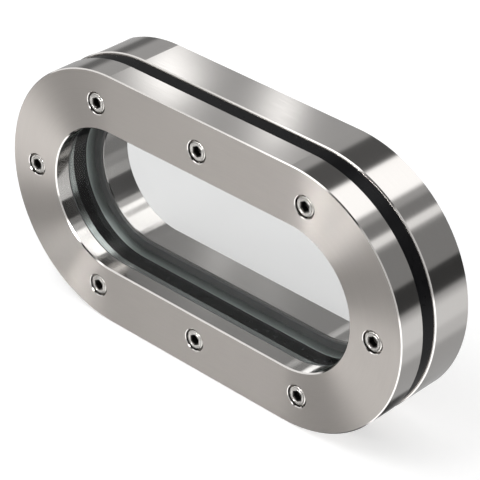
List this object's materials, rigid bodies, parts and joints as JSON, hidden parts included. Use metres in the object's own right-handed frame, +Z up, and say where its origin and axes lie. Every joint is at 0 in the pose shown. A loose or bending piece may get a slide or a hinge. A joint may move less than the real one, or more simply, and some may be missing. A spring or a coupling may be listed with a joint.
{
  "type": "oval sight glass",
  "caption": "Oval steel sight glass fitting: a thick oval glass plate clamped between a screwed cover flange and a base flange, with a black ring in the gap.",
  "frame": {"origin": "middle of the footprint: centre of the outline in X and Y, on the lower straight side of the flanges in Z", "axes": "+X along the long axis, -Y out of the cover's face towards the viewer, +Y out of the weld face, +Z up"},
  "size_m": [0.33, 0.061, 0.18],
  "materials": {
    "flange_steel": "stainless steel, finely ground and satin",
    "sight_glass": "clear borosilicate plate with polished faces and ground arrises",
    "gasket": "smooth dark flat seal",
    "spacer": "smooth glossy black ring",
    "screw_steel": "bright stainless steel"
  },
  "bodies": {
    "root": {"cover_flange": "flange_steel", "base_flange": "flange_steel", "sight_glass": "sight_glass", "front_gasket": "gasket", "rear_gasket": "gasket", "spacer_gasket": "spacer", "screw_top_left": "screw_steel", "screw_top_mid": "screw_steel", "screw_top_right": "screw_steel", "screw_right": "screw_steel", "screw_bottom_right": "screw_steel", "screw_bottom_mid": "screw_steel", "screw_bottom_left": "screw_steel", "screw_left": "screw_steel"}
  },
  "joints": []
}
